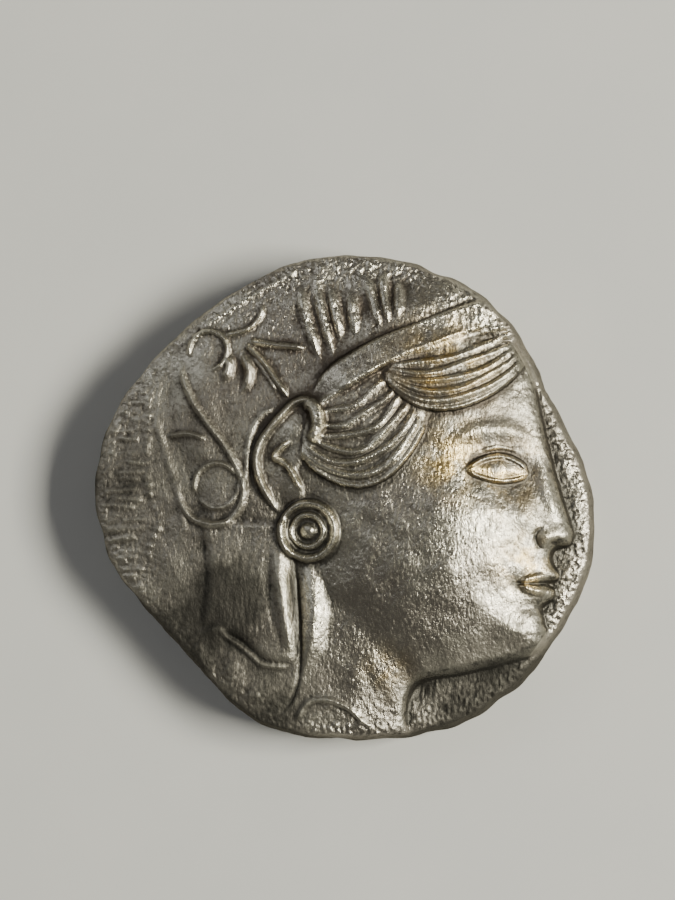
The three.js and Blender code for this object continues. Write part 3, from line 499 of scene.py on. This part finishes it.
def back_signs(die):
    """A sprig with two leaves and a berry, a small moon, and a column of plain bars."""
    leaves = (([(-5.4, 6.0), (-4.2, 6.6), (-2.9, 6.5)], 0.9, 0.4),
              ([(-5.8, 5.8), (-6.4, 4.7), (-6.2, 3.4)], 0.9, 0.4))
    bars = [([(4.5, 3.8 - 1.15 * k), (6.1, 3.8 - 1.15 * k)], 0.55, 0.22) for k in range(7)]
    z = die.strokes(([(-6.8, 6.6), (-5.6, 5.9), (-4.6, 5.0)], 0.4, 0.3),
                    (arc((-2.2, 3.6), 0.8, 0.8, 110, 290), 0.5, 0.3), *bars)
    z = np.maximum(z, die.strokes(*leaves, ends=0.45))
    return np.maximum(z, die.dome((-4.3, 4.6), (0.45, 0.45), 0.4))


def back_die():
    """Height of the back's face above the surface the coin lies on."""
    die = Die()
    depth = SQUARE_DEPTH * ease((SQUARE_SIDE / 2 - np.maximum(np.abs(die.x), np.abs(die.y))) / SQUARE_SLOPE)
    worn = np.clip(0.012 * grain(3.0, 0.9, 7) + 0.008 * grain(0.6, 0.12, 8), 0, 1)
    z = np.clip(depth - np.maximum(owl(die), back_signs(die)) * (depth > 0), 0, None)
    z += 0.02 * grain(2.5, 0.6, 9) * (z > 0.2) + 0.03 * ease((grain(0.8, 0.22, 12) - 1.4) / 1.2)
    return blur(np.clip(z, 0, None), 0.035) + worn


# ---------------------------------------------------------------- the coin's mesh
def sample(raster, x, y):
    """Heights of a raster at places in mm, between its cells."""
    column = np.clip((x + DIE_HALF) / CELL, 0, raster.shape[1] - 1.001)
    row = np.clip((y + DIE_HALF) / CELL, 0, raster.shape[0] - 1.001)
    i, j = column.astype(int), row.astype(int)
    u, v = column - i, row - j
    low = raster[j, i] * (1 - u) + raster[j, i + 1] * u
    high = raster[j + 1, i] * (1 - u) + raster[j + 1, i + 1] * u
    return low * (1 - v) + high * v


def to_back(x, y):
    """From the coin's x, y to the drawing of its back."""
    c, s = math.cos(math.radians(BACK_TURN)), math.sin(math.radians(BACK_TURN))
    x, y = x - BACK_MIDDLE[0], y - BACK_MIDDLE[1]
    return -x * c + y * s, x * s + y * c


def disc_grid(count):
    """A square grid bent to a disc: share of the radius, angle, quads, and the ring of edge points."""
    axis = np.linspace(-1, 1, count + 1)
    u, v = np.meshgrid(axis, axis)
    wide = np.abs(u) >= np.abs(v)
    safe = np.where(wide, u, v)
    safe = np.where(safe == 0, 1, safe)
    turn = np.where(wide, math.pi / 4 * v / safe, math.pi / 2 - math.pi / 4 * u / safe)
    angle = turn + np.where(np.where(wide, u, v) < 0, math.pi, 0)
    index = np.arange((count + 1) ** 2).reshape(count + 1, count + 1)
    quads = np.stack([index[:-1, :-1], index[:-1, 1:], index[1:, 1:], index[1:, :-1]], -1).reshape(-1, 4)
    edge = np.r_[index[0, :-1], index[:-1, -1], index[-1, :0:-1], index[:0:-1, 0]]
    return np.maximum(np.abs(u), np.abs(v)).ravel(), angle.ravel(), quads, edge


def dents(angle):
    """Small dents of the outline, the same on both faces and the side."""
    rng = np.random.default_rng(21)
    waves = [(count, rng.uniform(0, 2 * math.pi)) for count in range(9, 46, 3)]
    return FLAN_DENTS * sum(np.cos(count * angle + start) / math.sqrt(count / 4) for count, start in waves)


def struck_face(count, bevel, height):
    """Points and squares of one face, out to its bevel, and the ring of its edge points."""
    share, angle, quads, edge = disc_grid(count)
    radius = share * (flan_radius(angle) - bevel + dents(angle) * share ** 6)
    x, y = radius * np.cos(angle), radius * np.sin(angle)
    return np.column_stack([x, y, height(x, y)]), quads, edge


def side_rows(rim, count):
    """Rows of points that bulge from the front's edge to the widest outline, and in again to the back's."""
    angle = np.arctan2(rim[:, 1], rim[:, 0])
    lumps = np.random.default_rng(22).uniform(-1, 1, (count, 120))
    places = np.linspace(-math.pi, math.pi, 121)
    rows = []
    for k in range(1, count):
        down = k / count
        bevel = FRONT_BEVEL if down < 0.5 else BACK_BEVEL
        radius = flan_radius(angle) + dents(angle) - bevel * (2 * down - 1) ** 2
        lump = np.interp(angle, places, np.r_[lumps[k], lumps[k][0]])
        radius += SIDE_LUMPS * lump * min(1, 5 * down, 5 - 5 * down) - SIDE_INSET
        rows.append(np.column_stack([radius * np.cos(angle), radius * np.sin(angle), rim[:, 2] * (1 - down)]))
    return rows


def coin_mesh(front, back):
    """Vertices and faces of the whole coin, from its two dies."""
    top, top_quads, top_edge = struck_face(
        FRONT_GRID, FRONT_BEVEL, lambda x, y: sample(front, x, y))
    under, under_quads, under_edge = struck_face(
        BACK_GRID, BACK_BEVEL, lambda x, y: sample(back, *to_back(x, y)))
    rows = side_rows(top[top_edge], SIDE_ROWS)
    start = len(top) + len(under)
    loops = [top_edge] + [start + k * len(top_edge) + np.arange(len(top_edge)) for k in range(len(rows))]
    side = [np.column_stack([a, b, np.roll(b, -1), np.roll(a, -1)]) for a, b in zip(loops, loops[1:])]
    last, low = loops[-1], under_edge + len(top)
    first, middle, after = last[::2], last[1::2], np.roll(last, -2)[::2]
    seam = [np.column_stack(t) for t in ((first, low, middle), (middle, low, np.roll(low, -1)),
                                         (middle, np.roll(low, -1), after))]
    quads = np.vstack([top_quads, under_quads[:, ::-1] + len(top)] + side)
    return np.vstack([top, under] + rows), quads.tolist() + np.vstack(seam).tolist()


def thin(coin, triangles):
    """Takes triangles from the flat places until so many are left."""
    count = sum(len(face.vertices) - 2 for face in coin.data.polygons)
    modifier = coin.modifiers.new("thin", "DECIMATE")
    modifier.ratio = triangles / count
    bpy.context.view_layer.objects.active = coin
    bpy.ops.object.modifier_apply(modifier=modifier.name)


def read_points(coin):
    """The places of the mesh's points, in metres."""
    co = np.empty(len(coin.data.vertices) * 3)
    coin.data.vertices.foreach_get("co", co)
    return co.reshape(-1, 3)


def set_down(coin):
    """Lifts back to the surface the few points that thinning has pushed under it."""
    co = read_points(coin)
    co[:, 2] = np.maximum(co[:, 2], 0)
    coin.data.vertices.foreach_set("co", co.ravel())


def spots_near(spots, x, y):
    """How strongly a few soft round spots tell at each place."""
    return sum(strength * np.exp(-((x - px) ** 2 + (y - py) ** 2) / reach ** 2)
               for px, py, reach, strength in spots)


def paint(coin, front, back, shift):
    """Keeps on the mesh what tones the metal: ridges, hollows, steep walls, golden places, and dark places
    that are partly toning and partly painted shade.
    """
    x, y, z = read_points(coin).T * 1000
    x, y = x + shift[0], y + shift[1]
    on_front = z > RIM_HEIGHT / 2
    to_rim = flan_radius(np.arctan2(y, x)) - np.hypot(x, y)
    on_face = ease((to_rim - BACK_BEVEL) / 0.2)
    layers = {"wall": sample(np.hypot(*np.gradient(blur(front, 0.22), CELL)), x, y) * on_face * on_front,
              "golden": spots_near(GOLDEN_SPOTS, x, y),
              "brown": spots_near(BROWN_SPOTS, x, y),
              # toning near the edge, and the spots of toning and of painted shade
              "toning_and_shade": spots_near(TONING_AND_SHADE_SPOTS, x, y) + ease(1.15 - to_rim / 0.45)}
    for name, reach in (("ridge_fine", 0.16), ("ridge_broad", 0.6)):
        over = sample(front - blur(front, reach), x, y)
        under = sample(blur(back, reach) - back, *to_back(x, y))
        layers[name] = np.where(on_front, over, under) * on_face
    for name, values in layers.items():
        coin.data.attributes.new(name, "FLOAT", "POINT").data.foreach_set("value", values)


# ---------------------------------------------------------------- materials
class Nodes:
    """A short way to write a node tree."""

    def __init__(self, tree):
        self.tree = tree
        tree.nodes.clear()

    def add(self, kind, values=(), **settings):
        node = self.tree.nodes.new(kind)
        for key, value in settings.items():
            setattr(node, key, value)
        for socket, value in dict(values).items():
            if isinstance(value, bpy.types.NodeSocket):
                self.tree.links.new(value, node.inputs[socket])
            else:
                node.inputs[socket].default_value = value
        return node

    def math(self, operation, a, b=0.0, c=0.0):
        return self.add("ShaderNodeMath", {0: a, 1: b, 2: c}, operation=operation).outputs[0]

    def span(self, value, low, high, to_low=0.0, to_high=1.0):
        """Maps a value smoothly from one range to another, and stops at its ends."""
        values = {"Value": value, "From Min": low, "From Max": high, "To Min": to_low, "To Max": to_high}
        return self.add("ShaderNodeMapRange", values, interpolation_type="SMOOTHSTEP").outputs["Result"]

    def noise(self, place, size, detail=4.0, roughness=0.6):
        """Noise with features of a size in metres."""
        values = {"Vector": place, "Scale": 1 / size, "Detail": detail, "Roughness": roughness}
        return self.add("ShaderNodeTexNoise", values).outputs["Fac"]

    def mix(self, share, a, b):
        node = self.add("ShaderNodeMix", {0: share, 6: a, 7: b}, data_type="RGBA")
        return node.outputs[2]

    def attribute(self, name):
        return self.add("ShaderNodeAttribute", attribute_name=name).outputs["Fac"]


BRIGHT_SILVER = (0.76, 0.73, 0.62, 1)
WARM_SILVER = (0.54, 0.50, 0.435, 1)
GREY_TONING = (0.1, 0.0965, 0.086, 1)
BROWN_TONING = (0.109, 0.091, 0.075, 1)
# The darkest colour, for deep toning and for painted shade.
DEEP_TONING_AND_SHADE = (0.062, 0.06, 0.054, 1)
GOLD = (0.84, 0.60, 0.22, 1)
# Soft round spots on the front: x, y, reach and strength
GOLDEN_SPOTS = [(5.2, 1.6, 1.5, 1.0), (8.0, 1.0, 1.6, 0.8), (5.0, 6.2, 2.2, 1.0), (9.0, -3.2, 1.3, 0.8),
                (2.2, -8.2, 1.0, 0.6)]
# Darker spots: those under the jaw, (8.0, -8.6) and (5.5, -10.5), are a painted shadow; those over the nape,
# the lower left, the crest and the back of the helmet are painted shade of the coin's left half; the rest are
# toning.
TONING_AND_SHADE_SPOTS = [(-5.0, -4.5, 2.1, 1.6), (-7.8, -7.0, 3.2, 1.6), (-3.0, -10.0, 2.5, 1.4),
               (5.5, -10.5, 2.4, 1.4), (-10.5, 0.5, 3.0, 1.0), (-6.0, 3.0, 3.5, 0.8),
               (8.0, -8.6, 2.0, 1.4), (8.6, 4.0, 2.0, 0.6), (5.0, 5.4, 2.2, 0.3), (9.5, -1.5, 2.0, 0.4)]
BROWN_SPOTS = [(-5.0, 5.0, 5.0, 1.0), (2.0, 8.0, 5.0, 1.0), (7.0, 3.0, 2.5, 1.0)]


def silver_material():
    """Silver: rubbed bright on the ridges, darkened by toning in hollows, by speckle and near the edge, and
    by painted shade under the jaw and over the left half.
    """
    material = bpy.data.materials.new("silver")
    material.use_nodes = True
    n = Nodes(material.node_tree)
    place = n.add("ShaderNodeTexCoord").outputs["Object"]
    fine, broad = n.attribute("ridge_fine"), n.attribute("ridge_broad")

    patches = n.noise(place, 0.004, 5.0)
    speckle = n.noise(place, 0.0003, 4.0, 0.7)
    hollow = n.math("ADD", n.span(fine, 0.01, -0.05, 0.0, 0.6), n.span(broad, 0.0, -0.16, 0.0, 0.5))
    dark = n.math("ADD", hollow, n.span(speckle, 0.48, 0.66, 0.0, 0.5))
    dark = n.math("ADD", dark, n.span(patches, 0.5, 0.75, 0.0, 0.25))
    dark = n.math("ADD", dark, n.span(n.attribute("wall"), 0.65, 1.1, 0.0, 0.6))
    dark = n.math("MINIMUM", dark, 0.95)
    clouds = n.noise(place, 0.0011, 4.0)
    # Spots of toning and of painted shade darken the metal further, broken up by clouds.
    toning_and_shade = n.math("MULTIPLY", n.attribute("toning_and_shade"), n.span(clouds, 0.3, 0.7, 0.7, 0.5))
    toning_and_shade = n.math("MINIMUM", toning_and_shade, 0.9)
    dark = n.math("MULTIPLY_ADD", n.math("SUBTRACT", 1.0, dark), toning_and_shade, dark)
    rubbed = n.math("ADD", n.span(fine, 0.0, 0.04, 0.0, 0.6), n.span(patches, 0.62, 0.35, 0.0, 0.7))
    color = n.mix(n.math("MINIMUM", rubbed, 1.0), WARM_SILVER, BRIGHT_SILVER)
    tint = n.math("MULTIPLY", n.attribute("golden"), n.span(clouds, 0.36, 0.62, 0.0, 0.9))
    color = n.mix(n.math("MINIMUM", tint, 0.8), color, GOLD)
    toning = n.mix(n.math("MINIMUM", n.attribute("brown"), 1.0), GREY_TONING, BROWN_TONING)
    # Dark places take the toning colours, turning to the deep colour where toning or painted shade is strong.
    color = n.mix(dark, color, n.mix(toning_and_shade, toning, DEEP_TONING_AND_SHADE))

    rough = n.math("MULTIPLY_ADD", dark, 0.2, n.span(speckle, 0.3, 0.7, 0.2, 0.32))
    rough = n.math("MULTIPLY_ADD", toning_and_shade, 0.3, rough)
    along = n.add("ShaderNodeMapping", {"Vector": place, "Scale": (1.0, 0.45, 1.0), "Rotation": (0, 0, 0.25)})
    scratches = n.noise(along.outputs[0], 0.00016, 3.0, 0.65)
    bump = n.add("ShaderNodeBump", {"Strength": 0.6, "Distance": 0.00009,
                                    "Height": n.math("MULTIPLY_ADD", speckle, 0.6, scratches)})
    shader = n.add("ShaderNodeBsdfPrincipled", {"Base Color": color, "Metallic": 1.0, "Roughness": rough,
                                                "Specular Tint": (0.4, 0.38, 0.34, 1),
                                                "Normal": bump.outputs["Normal"]})
    n.add("ShaderNodeOutputMaterial", {"Surface": shader.outputs["BSDF"]})
    return material


def floor_material():
    material = bpy.data.materials.new("pale_floor")
    material.use_nodes = True
    n = Nodes(material.node_tree)
    place = n.add("ShaderNodeTexCoord").outputs["Object"]
    color = n.mix(n.span(n.noise(place, 0.01), 0.3, 0.7), (0.70, 0.71, 0.71, 1), (0.73, 0.735, 0.73, 1))
    shader = n.add("ShaderNodeBsdfPrincipled", {"Base Color": color, "Roughness": 0.6})
    n.add("ShaderNodeOutputMaterial", {"Surface": shader.outputs["BSDF"]})
    return material


# ---------------------------------------------------------------- stage
def direction(azimuth, elevation):
    """A unit vector; azimuth in degrees from +X towards +Y."""
    a, e = math.radians(azimuth), math.radians(elevation)
    return np.array([math.cos(a) * math.cos(e), math.sin(a) * math.cos(e), math.sin(e)])


def aim(thing, target):
    """Turns a camera or light to a target, with +Y towards the top of its view."""
    back = (thing.location - Vector(target)).normalized()
    right = Vector((0, 1, 0)).cross(back).normalized()
    thing.rotation_euler = Matrix((right, back.cross(right), back)).transposed().to_euler()


def area_light(name, azimuth, elevation, distance, size, power, color):
    """A soft light that the camera doesn't see, turned to the coin."""
    data = bpy.data.lights.new(name, "AREA")
    data.shape, data.size, data.size_y = "RECTANGLE", size[0], size[1]
    data.energy, data.color = power, color
    light = bpy.data.objects.new(name, data)
    light.location = direction(azimuth, elevation) * distance
    light.visible_camera = False
    bpy.context.collection.objects.link(light)
    aim(light, (0, 0, 0))


def build_world(color, strength, seen):
    """A dim room that the silver reflects; the camera sees a pale grey one."""
    world = bpy.data.worlds.new("room")
    bpy.context.scene.world = world
    world.use_nodes = True
    n = Nodes(world.node_tree)
    is_camera = n.add("ShaderNodeLightPath").outputs["Is Camera Ray"]
    level = n.math("MULTIPLY_ADD", is_camera, seen - strength, strength)
    color = n.mix(is_camera, color, (1, 1, 1, 1))
    background = n.add("ShaderNodeBackground", {"Color": color, "Strength": level})
    n.add("ShaderNodeOutputWorld", {"Surface": background.outputs[0]})


def build_floor():
    bpy.ops.mesh.primitive_plane_add(size=3.0, location=(0, 0, 0))
    floor = bpy.context.object
    floor.name = "floor"
    floor.data.materials.append(floor_material())


def build_camera():
    """Looks steeply down on the coin, from above a place just beside the head's chin."""
    data = bpy.data.cameras.new("camera")
    data.lens, data.sensor_width = 106.6, 36
    data.clip_start, data.clip_end = 0.005, 10
    camera = bpy.data.objects.new("camera", data)
    bpy.context.collection.objects.link(camera)
    target = np.array([0.0, 0.0021, 0.0045])
    camera.location = target + 0.1267 * direction(-36, 83.2)
    aim(camera, target)
    bpy.context.scene.camera = camera


# ---------------------------------------------------------------- main
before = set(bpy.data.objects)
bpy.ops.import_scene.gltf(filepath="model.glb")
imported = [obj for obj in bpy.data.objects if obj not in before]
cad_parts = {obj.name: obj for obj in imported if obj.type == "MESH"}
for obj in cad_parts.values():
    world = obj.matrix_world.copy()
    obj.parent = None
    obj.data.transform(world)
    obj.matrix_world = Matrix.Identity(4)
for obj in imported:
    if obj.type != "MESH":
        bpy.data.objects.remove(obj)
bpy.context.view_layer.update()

front, back = front_die(), back_die()
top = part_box("coin")[1][2] * 1000
front = np.minimum(front, top - CLEARANCE) - CLEARANCE
points, faces = coin_mesh(front, back)
shift = (points.max(0) + points.min(0))[:2] / 2
points[:, :2] -= shift
mesh = bpy.data.meshes.new("coin_silver")
mesh.from_pydata((points / 1000).tolist(), [], faces)
coin = bpy.data.objects.new("coin_silver", mesh)
bpy.context.collection.objects.link(coin)
thin(coin, TRIANGLES)
set_down(coin)
paint(coin, front, back, shift)
coin.data.shade_smooth()
coin.data.materials.append(silver_material())
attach(coin, "root")
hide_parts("coin")

build_floor()
build_camera()
build_world((1.0, 0.96, 0.88, 1), 0.095, 0.8)
area_light("key", 0, 42, 0.5, (0.14, 0.22), 4.0, (1.0, 0.965, 0.82))
area_light("fill", 150, 40, 0.6, (0.4, 0.3), 0.4, (0.95, 0.98, 1.0))
